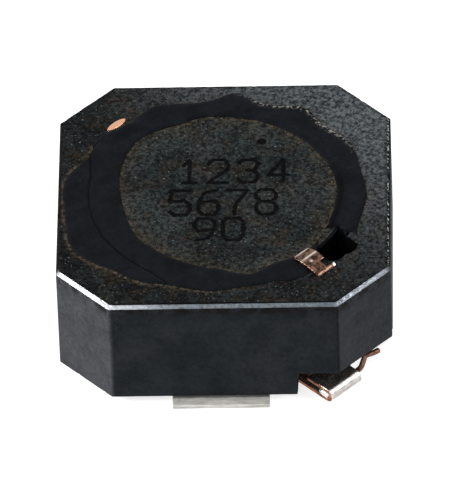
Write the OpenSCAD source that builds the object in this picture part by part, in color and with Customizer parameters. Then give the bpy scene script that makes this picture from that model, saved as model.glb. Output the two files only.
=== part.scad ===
// Shielded surface-mount power inductor: an octagonal ferrite ring round a wound ferrite drum,
// bonded with adhesive, on two folded strip terminals. Millimetres.
// The origin is the middle of the footprint, on the board. Z is up, and the pads lie along Y.
// The two terminals are the same piece, turned half a turn about Z.

/* [Shield ring] */
// Width of the ring across its flats
ring_w = 10.3; // [9.8:0.1:11.2]
// Height of the ring, and of the drum inside it
core_h = 3.75; // [3.3:0.05:4.6]
// Length that each cut corner takes off a side
corner_cut = 1.64; // [1.4:0.02:1.8]
// Thickness of the ring's wall at the middle of each flat
wall_t = 0.85; // [0.75:0.05:1.2]
// Width of the small bevel round the ring's top edge
edge_bevel = 0.1; // [0.04:0.01:0.2]
// Width of the bevel round its bottom edge
foot_bevel = 0.04; // [0.02:0.01:0.15]
// Space between the board and the underside of the cores
standoff = 0.25; // [0.2:0.01:0.4]

/* [Corner pockets and notches] */
// Width of the pocket in the bore that a terminal leg rises through
pocket_w = 2.5; // [2.1:0.05:2.8]
// Depth of that pocket beyond the bore
pocket_depth = 0.62; // [0.5:0.01:0.75]
// Radius of the pocket's inner corners
pocket_r = 0.3; // [0.1:0.05:0.4]
// Width of the notch under the corner, across the diagonal
notch_w = 4.1; // [3.7:0.05:4.6]
// Height of the notch above the underside of the ring
notch_h = 0.88; // [0.7:0.02:1.1]

/* [Drum core] */
// Width of the gap between the drum's flanges and the bore
drum_gap = 0.45; // [0.35:0.01:0.6]
// Thickness of each flange
flange_t = 0.75; // [0.6:0.05:0.9]
// Width of the bevel on the flange rims
rim_bevel = 0.06; // [0.02:0.01:0.12]

/* [Winding] */
// Diameter of the enamelled wire
wire_d = 0.18; // [0.14:0.01:0.2]
// Depth of the wound coil, from its outside in to the drum's post
coil_depth = 1.25; // [1:0.05:1.5]
// Distance that the wound coil stays inside the rims of the flanges
coil_recess = 0.4; // [0.3:0.05:0.6]
// Free height left between the coil and each flange
coil_play = 0.04; // [0.02:0.01:0.08]
// Height at which each lead leaves the coil, above the underside of the cores
lead_rise = 1.5; // [1.3:0.05:1.8]

/* [Terminals] */
// Thickness of the terminal strip
sheet_t = 0.15; // [0.12:0.01:0.18]
// Width of the solder pad
pad_w = 3; // [2.8:0.1:3.6]
// Distance of the pad's middle from the ring's middle, away from the clamp
pad_offset = 0.15; // [0:0.01:0.25]
// Length of the solder pad, from its outer end inwards
pad_l = 2.3; // [2.2:0.1:2.8]
// Distance that the pad stands out past the ring's flat
pad_reach = 0.3; // [0.1:0.05:0.5]
// Width of the arm from the pad to the corner
arm_w = 1.0; // [0.8:0.05:1.2]
// Distance from the ring's flat to the arm
arm_setback = 0.95; // [0.85:0.05:1.1]
// Width of the folded wire clamp
clamp_w = 1.3; // [1:0.05:1.4]
// Distance of the clamp's near end from the corner diagonal
clamp_offset = 0.17; // [0.1:0.01:0.3]
// Length of the leaf that is folded back over the wire
clamp_leaf = 0.85; // [0.7:0.05:0.95]
// Distance that the clamp's fold stays inside the cut corner
clamp_inset = 0.03; // [0:0.01:0.2]
// Width of the upright leg
leg_w = 0.8; // [0.6:0.05:0.9]
// Distance of the leg's middle from the corner diagonal, towards the pad
leg_offset = 0.29; // [0.15:0.01:0.35]
// Gap between the leg and the end of the pocket
leg_play = 0.05; // [0.02:0.01:0.08]
// Width of the cut that parts the leg from the clamp's lower leaf
root_slot = 0.1; // [0.06:0.01:0.15]
// Centre-line radius of the strip's bends
bend_r = 0.2; // [0.14:0.01:0.26]
// Height of the finger's shoulder above the cores, at the middle of the strip
shoulder_h = 0.02; // [0:0.01:0.05]
// Height of the front finger's ridge above the cores, at the middle of the strip
ridge_h = 0.12; // [0.1:0.01:0.22]
// Distance of that ridge outside the drum's rim
ridge_out = 0.24; // [0.15:0.01:0.26]
// Distance that the front finger's toe reaches over the drum
toe_reach = 0.12; // [0.1:0.01:0.3]
// Length of the toe's flat end
toe_l = 0.13; // [0.06:0.01:0.16]
// Depth below the cores' top of the back finger, which lies in the adhesive
buried_depth = 0.3; // [0.24:0.01:0.4]
// Distance of the back finger's tip from the drum's rim
buried_gap = 0.12; // [0.08:0.01:0.2]
// Length of the relief slot at the finger's bend
relief_l = 0.3; // [0.2:0.01:0.36]
// Width of the relief slot, in from the leg's side
relief_w = 0.32; // [0.2:0.01:0.4]
// Width by which the finger beyond that slot is narrower than the leg
finger_trim = 0.12; // [0.04:0.01:0.16]
// Radius of the finger's end corners
toe_round = 0.1; // [0.04:0.01:0.15]

/* [Adhesive and solder] */
// Height of the cured adhesive above the top of the cores
film_t = 0.06; // [0.03:0.01:0.12]
// Depth of the adhesive in the gap between drum and ring
fill_depth = 0.75; // [0.5:0.05:1.1]
// Running clearance wherever a loose piece lies in another
clearance = 0.01; // [0.005:0.005:0.02]
// Distance that the glue under a pad stays inside the pad's edges
glue_inset = 0.25; // [0.15:0.05:0.4]
// Distance that solder fills from the clamp's fold back over the wire
solder_l = 0.36; // [0.3:0.01:0.45]

/* [Hidden] */
$fn = 96;
bend_steps = 5;
wire_sides = 8;
wire_steps = 2;
margin = 1;

half_w = ring_w / 2;
base_z = standoff;
top_z = standoff + core_h;
bore_r = half_w - wall_t;
flange_r = bore_r - drum_gap;
corner_r = (ring_w - corner_cut) / sqrt(2);
pocket_end = bore_r + pocket_depth;
gap_r = (flange_r + bore_r) / 2;

wire_r = wire_d / 2;
coil_r = flange_r - coil_recess;
post_r = coil_r - coil_depth;
coil_space = core_h - 2 * flange_t - 2 * coil_play;
turn_rows = floor(coil_space / wire_d);
turn_pitch = coil_space / turn_rows;
coil_z = base_z + flange_t + coil_play;

clamp_gap = wire_d + 2 * clearance;
clamp_h = clamp_gap + 2 * sheet_t;
fold_r = corner_r - clamp_inset - clamp_h / 2;
clamp_near = -clamp_offset;
clamp_far = -clamp_offset - clamp_w;
leaf_end = fold_r - clamp_leaf;
leg_far = -leg_offset - leg_w / 2;
leg_near = -leg_offset + leg_w / 2;
finger_near = leg_near - finger_trim;
leg_r = pocket_end - leg_play - sheet_t / 2;
leg_root = leg_r + bend_r;
foot_l = 0.2;
tab_l = 0.35;
slot_s = leg_far - root_slot;
arm_front = -(half_w - arm_setback);
arm_back = arm_front + arm_w;
shoulder_z = top_z + shoulder_h;
ridge_r = flange_r + ridge_out;
toe_z = top_z + sheet_t / 2;
toe_r = flange_r - toe_reach;
ridge_bend = 0.12;
toe_bend = 0.06;
shoulder_bend = 0.1;

// Adhesive that spilled over the ring: [direction, reach past the bore's edge, radius] of each lobe
spill_lobes = [[0, 0.12, 4.42], [188, 0.62, 4.45], [30, 0.28, 2.4], [57, 0.4, 2], [86, 0.48, 1.4],
               [120, 0.46, 1.9], [146, 0.54, 1.7], [180, 0.76, 2.4], [209, 0.99, 2.6],
               [301, 0.32, 1.5], [329, 0.4, 1.5]];
// What it left clean of the drum's top: [direction, reach past the flange's edge, radius] of each lobe
clean_lobes = [[0, -0.33, 3.34], [55, -0.29, 2.9], [115, 0.01, 2.5], [280, 0.03, 1.9],
               [319, -0.01, 2.1]];
// The hollow beside the front leg: [direction, distance out from the gap's middle, radius] of each scoop
pit_scoops = [[-36, 0, 0.46], [-34, 0.31, 0.48], [-39, 0.24, 0.42], [-31, 0.3, 0.36]];

// Turns its children to the front corner: X runs out along the diagonal, and Y across it
module at_corner() {
    rotate([0, 0, -45])
        children();
}

// The matching place at the back corner
module at_back() {
    rotate([0, 0, 180])
        children();
}

// The ring's outline, a square with cut corners
module octagon() {
    intersection() {
        square(ring_w, center = true);
        rotate(45)
            square(2 * corner_r, center = true);
    }
}

// A 45 degree cutter along one side of the octagon, for both its bottom and its top edge
module edge_cutter(distance) {
    for (edge = [[base_z, foot_bevel], [top_z, edge_bevel]])
        translate([distance, 0, edge[0]])
            rotate([0, 45, 0])
                cube([edge[1] * sqrt(2), ring_w, edge[1] * sqrt(2)], center = true);
}

module pocket_outline() {
    side = pocket_w / 2 - pocket_r;
    translate([0, -pocket_w / 2])
        square([pocket_end - pocket_r, pocket_w]);
    translate([0, -side])
        square([pocket_end, 2 * side]);
    for (y = [-side, side])
        translate([pocket_end - pocket_r, y])
            circle(pocket_r);
}

module corner_notch() {
    translate([0, -notch_w / 2, base_z - margin])
        cube([ring_w, notch_w, notch_h + margin]);
}

module ring_core() {
    color("#3c4143")
        difference() {
            translate([0, 0, base_z])
                linear_extrude(core_h)
                    octagon();
            translate([0, 0, base_z - margin])
                cylinder(h = core_h + 2 * margin, r = bore_r);
            for (side = [0:3])
                rotate([0, 0, 90 * side]) {
                    edge_cutter(half_w);
                    rotate([0, 0, 45])
                        edge_cutter(corner_r);
                }
            for (turn = [0, 180])
                rotate([0, 0, turn])
                    at_corner() {
                        translate([0, 0, base_z - margin])
                            linear_extrude(core_h + 2 * margin)
                                pocket_outline();
                        corner_notch();
                    }
        }
}

// Half of the drum's section: two flanges on a post, with bevelled rims
module drum_section() {
    b = rim_bevel;
    polygon([[0, 0], [flange_r - b, 0], [flange_r, b], [flange_r, flange_t - b],
             [flange_r - b, flange_t], [post_r, flange_t], [post_r, core_h - flange_t],
             [flange_r - b, core_h - flange_t], [flange_r, core_h - flange_t + b],
             [flange_r, core_h - b], [flange_r - b, core_h], [0, core_h]]);
}

module drum_core() {
    color("#474b4a")
        translate([0, 0, base_z])
            rotate_extrude()
                drum_section();
}

// A point of the lead beside the coil, from its radius, its angle off the diagonal and its height
function ring_point(radius, angle, z) = [radius * cos(angle), radius * sin(angle), z];

lead_z = base_z + lead_rise;
wire_z = sheet_t + clearance + wire_r;
run_s = (clamp_far + slot_s) / 2;
seat_r = fold_r - 0.1;
gap_angle = asin(run_s / gap_r);

// The lead's route from the coil, down the gap, through the clamp and up its tail, as [along the
// diagonal, across it, height]
lead_points = [
    ring_point(coil_r - wire_r, gap_angle - 34, lead_z + 0.1),
    ring_point(coil_r, gap_angle - 24, lead_z + 0.06),
    ring_point((coil_r + gap_r) / 2, gap_angle - 12, lead_z),
    ring_point(gap_r - 0.02, gap_angle - 2, lead_z - 0.22),
    ring_point(gap_r, gap_angle, lead_z - 0.6),
    ring_point(gap_r, gap_angle, base_z + 0.35),
    [gap_r + 0.1, run_s, wire_z + 0.14],
    [gap_r + 0.4, run_s, wire_z],
    [seat_r - 0.4, run_s, wire_z],
    [seat_r - 0.08, run_s + 0.1, wire_z],
    [seat_r, run_s + 0.38, wire_z],
    [seat_r, clamp_near, wire_z],
    [fold_r - 0.02, clamp_near + 0.22, wire_z + 0.14],
    [fold_r, clamp_near + 0.34, wire_z + 0.38],
    [fold_r + 0.04, clamp_near + 0.4, wire_z + 0.56],
    [fold_r + 0.18, clamp_near + 0.58, wire_z + 0.64],
    [fold_r + 0.2, clamp_near + 0.78, wire_z + 0.62]];

// A smooth curve through the points p, with n steps between each two (Catmull-Rom)
function spline(p, n) = [
    for (i = [0:len(p) - 2])
        let (a = p[max(i - 1, 0)], b = p[i], c = p[i + 1], d = p[min(i + 2, len(p) - 1)])
            for (k = [0:n - 1])
                let (t = k / n)
                    (2 * b + (c - a) * t + (2 * a - 5 * b + 4 * c - d) * t * t
                     + (3 * b - a - 3 * c + d) * t * t * t) / 2,
    p[len(p) - 1]];

function unit(v) = v / norm(v);

function tangent(p, i) = unit(p[min(i + 1, len(p) - 1)] - p[max(i - 1, 0)]);

// The side vector of every ring, each carried on from the one before it without twist
function sides_along(p, i, last) =
    let (t = tangent(p, i), side = unit(last - (last * t) * t))
        i == len(p) - 1 ? [side] : concat([side], sides_along(p, i + 1, side));

// A round wire of radius r along the points p, closed at both ends
module wire(p, r) {
    n = wire_sides;
    sides = sides_along(p, 0, [0, 0, 1]);
    rings = [for (i = [0:len(p) - 1])
        let (u = sides[i], v = cross(tangent(p, i), u))
            for (k = [0:n - 1])
                p[i] + r * (u * cos(360 * k / n) + v * sin(360 * k / n))];
    walls = [for (i = [0:len(p) - 2], k = [0:n - 1])
        let (a = i * n + k, b = i * n + (k + 1) % n)
            each [[a, a + n, b + n], [a, b + n, b]]];
    first = [for (k = [0:n - 1]) k];
    last = [for (k = [n - 1:-1:0]) (len(p) - 1) * n + k];
    polyhedron(points = rings, faces = concat(walls, [first], [last]));
}

module lead() {
    at_corner()
        wire(spline(lead_points, wire_steps), wire_r);
}

// The coil's section: a solid pack of wire with the outermost turns standing out
module coil_section() {
    pack_r = coil_r - wire_r / 2;
    translate([post_r, 0])
        square([pack_r - post_r, coil_space]);
    for (row = [0:turn_rows - 1])
        translate([coil_r - wire_r, (row + 0.5) * turn_pitch])
            circle(wire_r);
}

module winding() {
    color("#8a4b26") {
        translate([0, 0, coil_z])
            rotate_extrude()
                coil_section();
        lead();
        at_back()
            lead();
    }
}

// Rounds each inner corner of the open path p by a curve that starts r[i] before it and ends r[i] after it
function rounded(p, r, n) = concat(
    [p[0]],
    [for (i = [1:len(p) - 2])
        let (a = p[i] + r[i] * unit(p[i - 1] - p[i]), b = p[i] + r[i] * unit(p[i + 1] - p[i]))
            for (k = [0:n])
                let (t = k / n)
                    (1 - t) * (1 - t) * a + 2 * t * (1 - t) * p[i] + t * t * b],
    [p[len(p) - 1]]);

// The section of a strip of thickness t that follows the path p
module strip_section(p, t) {
    left = [for (i = [0:len(p) - 1]) p[i] + t / 2 * [-tangent(p, i)[1], tangent(p, i)[0]]];
    right = [for (i = [len(p) - 1:-1:0]) p[i] - t / 2 * [-tangent(p, i)[1], tangent(p, i)[0]]];
    polygon(concat(left, right));
}

// Draws a section that is given in the plane of the diagonal from one offset across it to another
module across(from, to) {
    translate([0, to, 0])
        rotate([90, 0, 0])
            linear_extrude(to - from)
                children();
}

leg_foot = [[leg_root + foot_l, sheet_t / 2], [leg_r, sheet_t / 2], [leg_r, shoulder_z]];
bare_finger = [[ridge_r, top_z + ridge_h], [toe_r + toe_l, toe_z], [toe_r, toe_z]];
buried_finger = [[leg_r - 2 * bend_r, shoulder_z], [flange_r + buried_gap, top_z - buried_depth]];

// What parts the finger's side from the leg, seen from above: the relief slot, and the side beyond it
module finger_side_cut() {
    slot_r = leg_r - sheet_t / 2 - relief_l;
    translate([slot_r, leg_near - relief_w])
        square([relief_l, relief_w + margin]);
    translate([slot_r - margin, finger_near])
        square([margin + relief_l / 2, finger_trim + margin]);
}

// What rounds the two corners of the toe, seen from above
module toe_corner_cut() {
    inside = [leg_far + toe_round, finger_near - toe_round];
    difference() {
        translate([toe_r - margin, leg_far - margin])
            square([toe_round + margin, leg_w + 2 * margin]);
        translate([toe_r, inside[0]])
            square([toe_round + margin, inside[1] - inside[0]]);
        for (s = inside)
            translate([toe_r + toe_round, s])
                circle(toe_round);
    }
}

// The leg that rises through the pocket, and the finger that it ends in. Its child is cut from the tip
module leg(finger, finger_rounding) {
    path = rounded(concat(leg_foot, finger), concat([0, bend_r, bend_r], finger_rounding), bend_steps);
    difference() {
        across(leg_far, leg_near)
            strip_section(path, sheet_t);
        translate([0, 0, top_z - margin])
            linear_extrude(2 * margin) {
                finger_side_cut();
                children();
            }
    }
}

// The front finger lies over the drum's edge
module bare_leg() {
    leg(bare_finger, [ridge_bend, toe_bend, 0])
        toe_corner_cut();
}

// The back finger is bent down into the gap, so that the adhesive covers all but its shoulder
module buried_leg() {
    leg(buried_finger, [shoulder_bend, 0]);
}

// The flat pattern that lies on the board: pad, arm and the clamp's lower leaf
module flat_pattern() {
    edge_front = slot_s * sqrt(2) - arm_front;
    edge_back = slot_s * sqrt(2) - arm_back;
    translate([-pad_w / 2 - pad_offset, -half_w - pad_reach])
        square([pad_w, pad_l]);
    polygon([[0, arm_front], [edge_front, arm_front], [edge_back, arm_back], [0, arm_back]]);
    rotate(-45) {
        translate([gap_r, clamp_far])
            square([fold_r - gap_r, slot_s - clamp_far]);
        translate([leg_root, clamp_far])
            square([fold_r - leg_root, clamp_w]);
        translate([leg_root, leg_far])
            square([tab_l, leg_w]);
    }
}

// The fold of the clamp and the leaf that comes back over the wire
module clamp_section() {
    middle = clamp_h / 2;
    intersection() {
        translate([fold_r, 0])
            square([clamp_h, clamp_h]);
        translate([fold_r, middle])
            difference() {
                circle(clamp_h / 2);
                circle(clamp_gap / 2);
            }
    }
    translate([leaf_end, clamp_h - sheet_t])
        square([clamp_leaf, sheet_t]);
}

// One terminal, with its upright leg as its child
module terminal() {
    color("#c9c4bd")
        linear_extrude(sheet_t)
            flat_pattern();
    color("#b5764c")
        at_corner() {
            across(clamp_far, clamp_near)
                clamp_section();
            children();
        }
}

module front_terminal() {
    terminal()
        bare_leg();
}

module back_terminal() {
    at_back()
        terminal()
            buried_leg();
}

// Solder in the clamp's fold, wetted round the wire
module solder_fill() {
    color("#dfe1e0")
        difference() {
            at_corner()
                across(clamp_far, clamp_near) {
                    intersection() {
                        translate([fold_r, 0])
                            square([clamp_h, clamp_h]);
                        translate([fold_r, clamp_h / 2])
                            circle(clamp_gap / 2);
                    }
                    translate([fold_r - solder_l, sheet_t])
                        square([solder_l, clamp_gap]);
                }
            lead();
        }
}

module front_solder() {
    solder_fill();
}

module back_solder() {
    at_back()
        solder_fill();
}

// A union of discs, each given as [direction, reach past the radius r, radius]
module lobes(list, r) {
    for (lobe = list)
        rotate(lobe[0])
            translate([r + lobe[1] - lobe[2], 0])
                circle(lobe[2]);
}

module spill_outline() {
    difference() {
        lobes(spill_lobes, bore_r);
        intersection() {
            lobes(clean_lobes, flange_r);
            circle(flange_r);
        }
    }
}

// What fills the gap between drum and ring, with the corner pockets
module gap_outline() {
    difference() {
        union() {
            circle(bore_r);
            for (turn = [0, 180])
                rotate(turn - 45)
                    pocket_outline();
        }
        circle(flange_r);
    }
}

module pit() {
    for (scoop = pit_scoops)
        rotate([0, 0, scoop[0]])
            translate([gap_r + scoop[1], 0, top_z - fill_depth - margin])
                cylinder(h = fill_depth + 2 * margin, r = scoop[2]);
}

module top_adhesive() {
    color("#23282e")
        difference() {
            union() {
                translate([0, 0, top_z - fill_depth])
                    linear_extrude(fill_depth)
                        gap_outline();
                translate([0, 0, top_z])
                    linear_extrude(film_t)
                        spill_outline();
            }
            pit();
            at_corner()
                bare_leg();
            at_back()
                at_corner()
                    buried_leg();
        }
}

// Glue between the pad and the undersides of the cores
module pad_glue() {
    color("#2b2a28")
        translate([glue_inset - pad_w / 2 - pad_offset, glue_inset - half_w, sheet_t])
            cube([pad_w - 2 * glue_inset, pad_l - pad_reach - 2 * glue_inset, standoff - sheet_t]);
}

module front_pad_glue() {
    pad_glue();
}

module back_pad_glue() {
    at_back()
        pad_glue();
}

ring_core();
drum_core();
winding();
front_terminal();
back_terminal();
front_solder();
back_solder();
top_adhesive();
front_pad_glue();
back_pad_glue();
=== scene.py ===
import bmesh
import bpy
import numpy as np
from mathutils import Matrix, Vector


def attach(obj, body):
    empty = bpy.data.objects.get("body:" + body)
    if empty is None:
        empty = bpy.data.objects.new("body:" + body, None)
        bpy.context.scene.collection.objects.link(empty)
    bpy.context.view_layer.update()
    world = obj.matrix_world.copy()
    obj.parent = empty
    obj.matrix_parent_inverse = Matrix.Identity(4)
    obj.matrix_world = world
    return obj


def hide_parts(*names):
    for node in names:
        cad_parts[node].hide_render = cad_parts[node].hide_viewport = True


# A shielded surface-mount inductor. Shapes are worked out in millimetres and written to Blender in metres.
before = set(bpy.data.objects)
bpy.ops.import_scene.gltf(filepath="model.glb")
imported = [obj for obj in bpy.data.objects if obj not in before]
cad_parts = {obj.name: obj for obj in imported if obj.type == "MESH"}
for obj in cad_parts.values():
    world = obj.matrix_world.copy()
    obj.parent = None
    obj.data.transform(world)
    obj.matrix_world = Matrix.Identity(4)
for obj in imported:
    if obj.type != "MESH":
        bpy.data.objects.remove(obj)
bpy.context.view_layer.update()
mm = 0.001
turn = 2 * np.pi


def smooth(low, high, x):
    # smooth step: 0 below low, 1 above high, and 3t^2 - 2t^3 between
    t = np.clip((x - low) / (high - low), 0, 1)
    return t * t * (3 - 2 * t)


def cloud(points, size, seed):
    # value noise: random numbers on a lattice of this spacing, blended smoothly between its points, -1 to 1
    table = np.random.default_rng(seed).random((32, 32, 32))
    q = np.asarray(points) / size
    cell = np.floor(q).astype(int)
    f = q - cell
    f = f * f * (3 - 2 * f)
    total = 0
    for corner in np.ndindex(2, 2, 2):
        weight = np.prod(np.where(corner, f, 1 - f), axis=-1)
        c = (cell + corner) % 32
        total = total + weight * table[c[..., 0], c[..., 1], c[..., 2]]
    return total * 2 - 1


def tint(red, green, blue):
    # a screen colour of 0 to 255 as the linear colour that shaders take
    c = np.array([red, green, blue]) / 255
    return tuple(np.where(c <= 0.04045, c / 12.92, ((c + 0.055) / 1.055) ** 2.4)) + (1,)


def fromCorner(r, s, z):
    # the corner frame: r runs out along the front right diagonal, s across it
    return np.stack([(r + s) / np.sqrt(2), (s - r) / np.sqrt(2), z + 0 * r], axis=-1)


def halfTurn(points):
    # turned by 180 degrees about the vertical axis
    return points * np.array([-1, -1, 1])


def gridSheet(points, closedAcross=False, closedAlong=False, **marks):
    # points (rows, columns, 3) with their quads; a closed direction joins its last line to its first
    rows, columns = points.shape[:2]
    index = np.arange(rows * columns).reshape(rows, columns)
    if closedAcross:
        index = np.vstack([index, index[:1]])
    if closedAlong:
        index = np.hstack([index, index[:, :1]])
    quads = np.stack([index[:-1, :-1], index[:-1, 1:], index[1:, 1:], index[1:, :-1]], axis=-1)
    marks = {key: np.ravel(value + 0 * points[..., 0]) for key, value in marks.items()}
    return points.reshape(-1, 3), quads.reshape(-1, 4), marks


def closedSheet(points, marks):
    # a sheet closed across, whose first and last columns are drawn together to close its two ends
    first, last = points[:, :1].mean(axis=0, keepdims=True), points[:, -1:].mean(axis=0, keepdims=True)
    rows = len(points)
    points = np.concatenate([np.repeat(first, rows, axis=0), points, np.repeat(last, rows, axis=0)], axis=1)
    wide = {key: np.concatenate([mark[:, :1], mark, mark[:, -1:]], axis=1) for key, mark in marks.items()}
    return gridSheet(points, True, False, **wide)


def makePiece(name, sheets, material):
    # joins grids into one mesh, closes poles and seams, and turns all faces outwards
    start = 0
    verts, quads, marks = [], [], {}
    for points, faces, sheetMarks in sheets:
        verts.append(points * mm)
        quads.append(faces + start)
        for key, value in sheetMarks.items():
            marks.setdefault(key, []).append((start, value))
        start += len(points)
    verts = np.concatenate(verts)
    quads = np.concatenate(quads)
    mesh = bpy.data.meshes.new(name)
    mesh.vertices.add(len(verts))
    mesh.vertices.foreach_set("co", verts.ravel())
    mesh.loops.add(quads.size)
    mesh.loops.foreach_set("vertex_index", quads.ravel().astype(np.int32))
    mesh.polygons.add(len(quads))
    mesh.polygons.foreach_set("loop_start", np.arange(0, quads.size, 4, dtype=np.int32))
    mesh.update(calc_edges=True)
    for key, parts in marks.items():
        values = np.zeros(len(verts), np.float32)
        for first, value in parts:
            values[first:first + len(value)] = value
        mesh.attributes.new(key, "FLOAT", "POINT").data.foreach_set("value", values)
    work = bmesh.new()
    work.from_mesh(mesh)
    bmesh.ops.remove_doubles(work, verts=work.verts, dist=2e-7)
    bmesh.ops.recalc_face_normals(work, faces=work.faces)
    work.to_mesh(mesh)
    work.free()
    mesh.polygons.foreach_set("use_smooth", np.ones(len(mesh.polygons), bool))
    mesh.materials.append(material)
    piece = bpy.data.objects.new(name, mesh)
    bpy.context.scene.collection.objects.link(piece)
    print(name, len(mesh.polygons), "faces")
    return piece


def stand(piece, slot, *nodes):
    # the piece rides on the one body and stands for these nodes
    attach(piece, "root")
    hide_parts(*nodes)


def carve(points, centres, radii):
    # small spheres bite into a surface: a point inside one moves straight out to the sphere's skin
    for centre, radius in zip(centres, radii):
        away = points - centre
        distance = np.linalg.norm(away, axis=-1, keepdims=True)
        inside = distance < radius
        points = np.where(inside, centre + away * radius / np.maximum(distance, 1e-6), points)
    return points


class Shader:
    # a Principled material with short calls for the nodes that feed it

    def __init__(self, name):
        self.material = bpy.data.materials.new(name)
        self.material.use_nodes = True
        self.tree = self.material.node_tree
        self.surface = self.tree.nodes["Principled BSDF"]
        self.place = self.node("ShaderNodeTexCoord").outputs["Object"]

    def node(self, kind, **settings):
        made = self.tree.nodes.new(kind)
        for key, value in settings.items():
            setattr(made, key, value)
        return made

    def feed(self, value, socket):
        if isinstance(value, bpy.types.NodeSocket):
            self.tree.links.new(value, socket)
        else:
            socket.default_value = value

    def math(self, operation, a, b=0.0, clamp=False):
        made = self.node("ShaderNodeMath", operation=operation, use_clamp=clamp)
        self.feed(a, made.inputs[0])
        self.feed(b, made.inputs[1])
        return made.outputs[0]

    def noise(self, size, detail=3.0, rough=0.55, stretch=(1, 1, 1), warp=0.0):
        # noise whose lumps are about this many millimetres across
        source = self.place
        if stretch != (1, 1, 1):
            mapping = self.node("ShaderNodeMapping")
            mapping.inputs["Scale"].default_value = stretch
            self.feed(self.place, mapping.inputs["Vector"])
            source = mapping.outputs[0]
        made = self.node("ShaderNodeTexNoise")
        self.feed(source, made.inputs["Vector"])
        made.inputs["Scale"].default_value = 1 / (size * mm)
        made.inputs["Detail"].default_value = detail
        made.inputs["Roughness"].default_value = rough
        made.inputs["Distortion"].default_value = warp
        return made.outputs["Fac"]

    def cells(self, size, feature="F1"):
        made = self.node("ShaderNodeTexVoronoi", feature=feature)
        self.feed(self.place, made.inputs["Vector"])
        made.inputs["Scale"].default_value = 1 / (size * mm)
        return made.outputs["Distance"]

    def window(self, value, low, high, lowOut=0.0, highOut=1.0):
        # maps low..high onto lowOut..highOut, smoothly and clamped
        made = self.node("ShaderNodeMapRange", interpolation_type="SMOOTHSTEP")
        self.feed(value, made.inputs["Value"])
        for key, v in (("From Min", low), ("From Max", high), ("To Min", lowOut), ("To Max", highOut)):
            made.inputs[key].default_value = v
        return made.outputs["Result"]

    def mix(self, share, a, b, blend="MIX"):
        made = self.node("ShaderNodeMix", data_type="RGBA", blend_type=blend)
        self.feed(share, made.inputs["Factor"])
        self.feed(a, made.inputs["A"])
        self.feed(b, made.inputs["B"])
        return made.outputs["Result"]

    def blend(self, share, a, b):
        # a number that goes from a to b
        made = self.node("ShaderNodeMix", data_type="FLOAT")
        self.feed(share, made.inputs["Factor"])
        self.feed(a, made.inputs["A"])
        self.feed(b, made.inputs["B"])
        return made.outputs["Result"]

    def mark(self, name):
        return self.node("ShaderNodeAttribute", attribute_name=name).outputs["Fac"]

    def along(self, axis):
        # a coordinate of the point in millimetres
        parts = self.node("ShaderNodeSeparateXYZ")
        self.feed(self.place, parts.inputs[0])
        return self.math("MULTIPLY", parts.outputs[axis], 1 / mm)

    def both(self, *masks):
        share = masks[0]
        for mask in masks[1:]:
            share = self.math("MULTIPLY", share, mask)
        return share

    def bump(self, *layers):
        # each layer is a height from 0 to 1 and the depth in millimetres that it stands for
        normal = None
        for height, depth in layers:
            made = self.node("ShaderNodeBump")
            made.inputs["Distance"].default_value = depth * mm
            self.feed(height, made.inputs["Height"])
            if normal:
                self.feed(normal, made.inputs["Normal"])
            normal = made.outputs["Normal"]
        self.feed(normal, self.surface.inputs["Normal"])

    def finish(self, colour, rough, **fixed):
        self.feed(colour, self.surface.inputs["Base Color"])
        self.feed(rough, self.surface.inputs["Roughness"])
        for key, value in fixed.items():
            self.surface.inputs[key.replace("_", " ")].default_value = value
        return self.material


def groundColour(s, look):
    # ground ferrite: dark and mid tones in soft patches, brown stains, a paler tone towards the back right;
    # over them a fine grain that multiplies the colour, black pits, pale flecks and a few rust-brown spots
    colour = s.mix(s.window(s.noise(1.5, 4, 0.6, warp=0.5), 0.38, 0.62), look["dark"], look["mid"])
    stained = s.window(s.noise(0.8, 5, 0.65, warp=0.6), 0.46, 0.64, 0, look["stainShare"])
    colour = s.mix(stained, colour, look["stain"])
    backRight = s.math("ADD", s.along("X"), s.along("Y"))
    ragged = s.math("MULTIPLY", s.noise(1.1, 5, 0.6), 3.0)
    paler = s.window(s.math("ADD", backRight, ragged), *look["paleFrom"])
    colour = s.mix(paler, colour, look["pale"])
    colour = s.mix(s.both(s.mark("halo"), s.window(s.noise(0.2, 4, 0.65), 0.35, 0.6)), colour, look["halo"])
    grain = s.window(s.noise(0.12, 4, 0.8), 0.38, 0.64, *look["grainLevels"])
    colour = s.mix(1.0, colour, grain, "MULTIPLY")
    colour = s.mix(s.window(s.noise(0.3, 4, 0.7), 0.6, 0.7, 0, 0.6), colour, look["pit"])
    colour = s.mix(s.window(s.noise(0.08, 2, 0.5), 0.64, 0.74, 0, 0.75), colour, look["fleck"])
    rust = s.both(s.window(s.noise(0.24, 3, 0.6), 0.62, 0.7), s.window(s.noise(1.9, 2, 0.5), 0.53, 0.6))
    return s.mix(s.math("MULTIPLY", rust, 0.35), colour, look["rust"])


def sideColour(s, look):
    # fired skin: even slate with slow clouds, reddish towards the left, painted paler as light on the sides
    # that face the key lamp, and with dark brown stains under the top edge
    colour = s.mix(s.window(s.noise(0.9, 5, 0.62), 0.3, 0.7), look["sideDark"], look["sideLight"])
    leftward = s.window(s.along("X"), -5.2, -2.6, 1, 0.15)
    rusty = s.both(leftward, s.window(s.noise(0.9, 5, 0.65, warp=0.5), 0.5, 0.7, 0, 0.6))
    colour = s.mix(rusty, colour, look["sideRust"])
    # painted light: the sides that face the key lamp are painted paler
    paler = s.both(s.mark("litSide"), s.window(s.noise(0.7, 4, 0.6), 0.25, 0.6, 0.55, 1))
    colour = s.mix(paler, colour, look["sideLit"])
    under = s.window(s.along("Z"), topZ - 0.62, topZ - 0.15)
    stain = s.both(under, s.window(s.noise(0.4, 5, 0.7, warp=0.3), 0.42, 0.56, 0, 0.85))
    colour = s.mix(stain, colour, look["sideStain"])
    colour = s.mix(1.0, colour, s.window(s.noise(0.14, 4, 0.7), 0.3, 0.7, 0.82, 1.2), "MULTIPLY")
    return s.mix(s.window(s.noise(0.2, 3, 0.6), 0.66, 0.76, 0, 0.35), colour, look["sideFleck"])


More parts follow.
